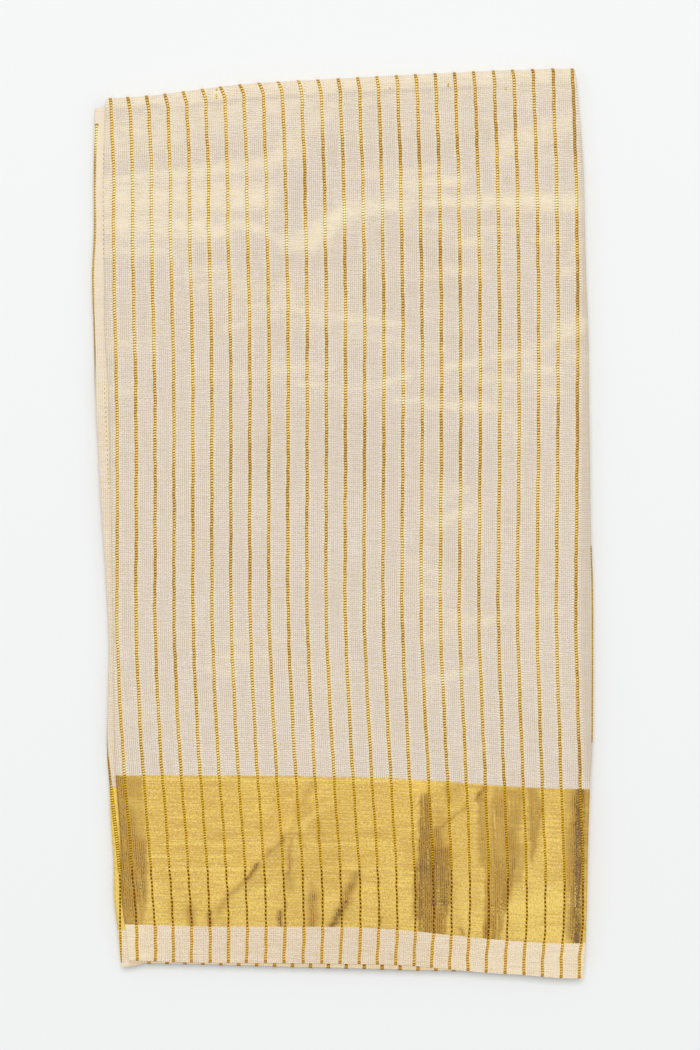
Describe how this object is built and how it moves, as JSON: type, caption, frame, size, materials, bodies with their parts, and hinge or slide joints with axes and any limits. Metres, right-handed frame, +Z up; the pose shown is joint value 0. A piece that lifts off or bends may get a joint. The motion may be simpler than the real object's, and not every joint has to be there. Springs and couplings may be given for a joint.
{
  "type": "folded dhoti cloth",
  "caption": "Cream cotton dhoti cloth with lengthwise gold zari stripes and a zari end band, folded flat and lying on a surface.",
  "frame": {"origin": "middle of the flat underside of the folded cloth, on the surface it lies on", "axes": "+Z up out of the surface, +Y along the stripes from the zari end to the last fold, +X across the stripes"},
  "size_m": [0.3308, 0.6013, 0.0107],
  "materials": {
    "cream_cotton": "plain-woven cream cotton tissue with woven gold zari stripes, soft sheen",
    "warm_cotton": "plain-woven cream cotton, a little warmer, with woven gold zari stripes",
    "zari_gold": "solid woven gold zari, metallic thread sheen"
  },
  "bodies": {
    "root": {"upper_body": "cream_cotton", "upper_zari_band": "zari_gold", "upper_end_strip": "warm_cotton", "inner_panel": "warm_cotton", "lower_body": "cream_cotton", "lower_zari_band": "zari_gold", "lower_end_strip": "warm_cotton", "folded_layers": "cream_cotton"}
  },
  "joints": []
}
